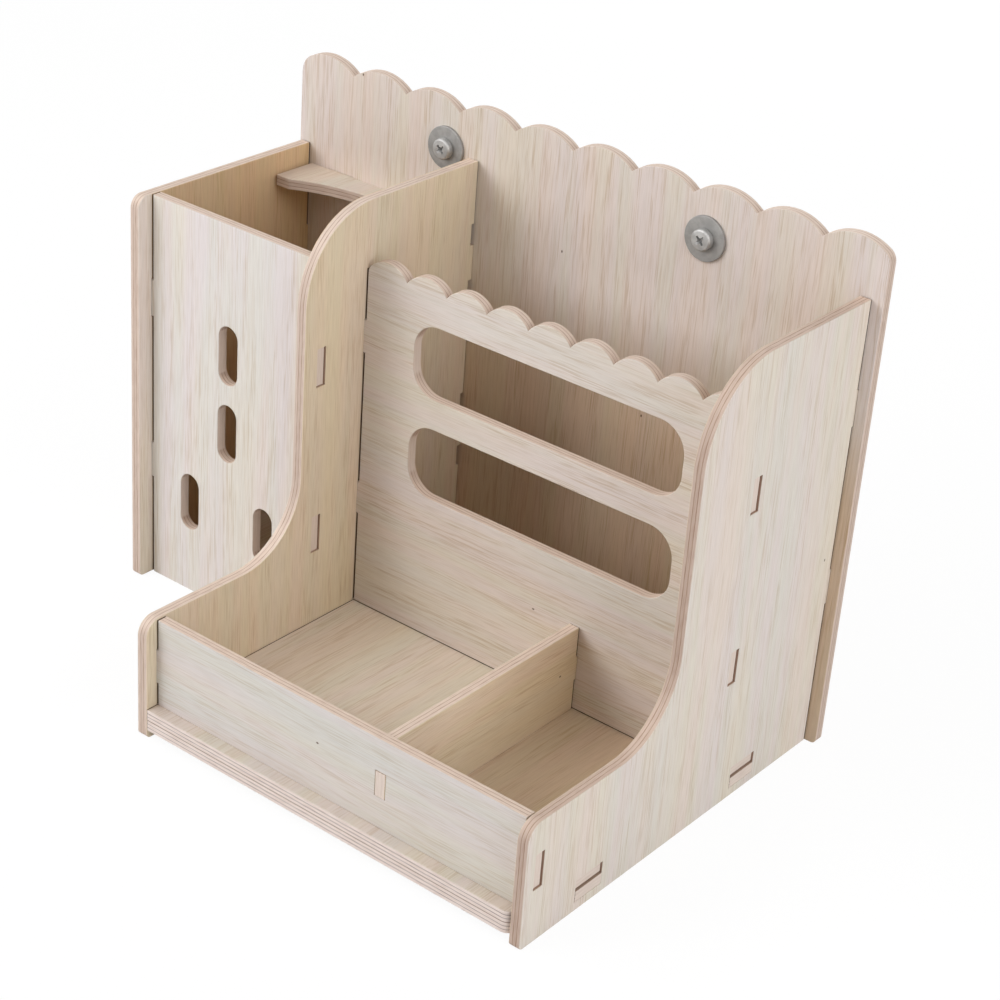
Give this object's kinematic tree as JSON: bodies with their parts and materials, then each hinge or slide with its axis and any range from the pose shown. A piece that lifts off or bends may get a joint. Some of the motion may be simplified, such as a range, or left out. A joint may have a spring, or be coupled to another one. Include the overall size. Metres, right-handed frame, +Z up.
{
  "type": "hay feeder box",
  "caption": "Slot-together plywood hay feeder box: a scalloped back, a windowed hay rack above a divided food trough, a slotted bottle box beside it and clamp bolts for a cage wall.",
  "frame": {"origin": "on the surface it stands on, under the middle of the whole object's box", "axes": "+X to the right seen from the trough, along the scalloped back; +Y from the trough to the back; +Z up"},
  "size_m": [0.3, 0.2196, 0.2234],
  "materials": {
    "plywood": "pale three-ply board with a fine straight grain, bare satin faces and light cut edges",
    "zinc_steel": "dull zinc plated steel"
  },
  "bodies": {
    "feeder": {"back_panel": "plywood", "box_side_panel": "plywood", "middle_side_panel": "plywood", "right_side_panel": "plywood", "box_front_panel": "plywood", "box_floor": "plywood", "bottle_rest": "plywood", "hay_panel": "plywood", "trough_front_board": "plywood", "food_divider": "plywood", "floor_board": "plywood", "base_board": "plywood", "left_bolt": "zinc_steel", "right_bolt": "zinc_steel", "left_front_washer": "zinc_steel", "right_front_washer": "zinc_steel"},
    "left_rear_washer": {"left_rear_washer": "zinc_steel"},
    "left_wing_nut": {"left_wing_nut": "zinc_steel"},
    "right_rear_washer": {"right_rear_washer": "zinc_steel"},
    "right_wing_nut": {"right_wing_nut": "zinc_steel"}
  },
  "joints": [
    {"name": "left_clamp_travel", "type": "slide", "parent": "feeder", "child": "left_rear_washer", "axis": [0, 1, 0], "range_m": [0, 0.0121]},
    {"name": "left_nut_turn", "type": "hinge", "parent": "left_rear_washer", "child": "left_wing_nut", "pos_m": [-0.0657, 0.09, 0.2011], "axis": [0, 1, 0], "range_deg": [0, 5400]},
    {"name": "right_clamp_travel", "type": "slide", "parent": "feeder", "child": "right_rear_washer", "axis": [0, 1, 0], "range_m": [0, 0.0121]},
    {"name": "right_nut_turn", "type": "hinge", "parent": "right_rear_washer", "child": "right_wing_nut", "pos_m": [0.0683, 0.09, 0.2011], "axis": [0, 1, 0], "range_deg": [0, 5400]}
  ],
  "couplings": [
    {"joint": "left_clamp_travel", "follows": "left_nut_turn", "m_per_rad": 0.00012732},
    {"joint": "right_clamp_travel", "follows": "right_nut_turn", "m_per_rad": 0.00012732}
  ]
}
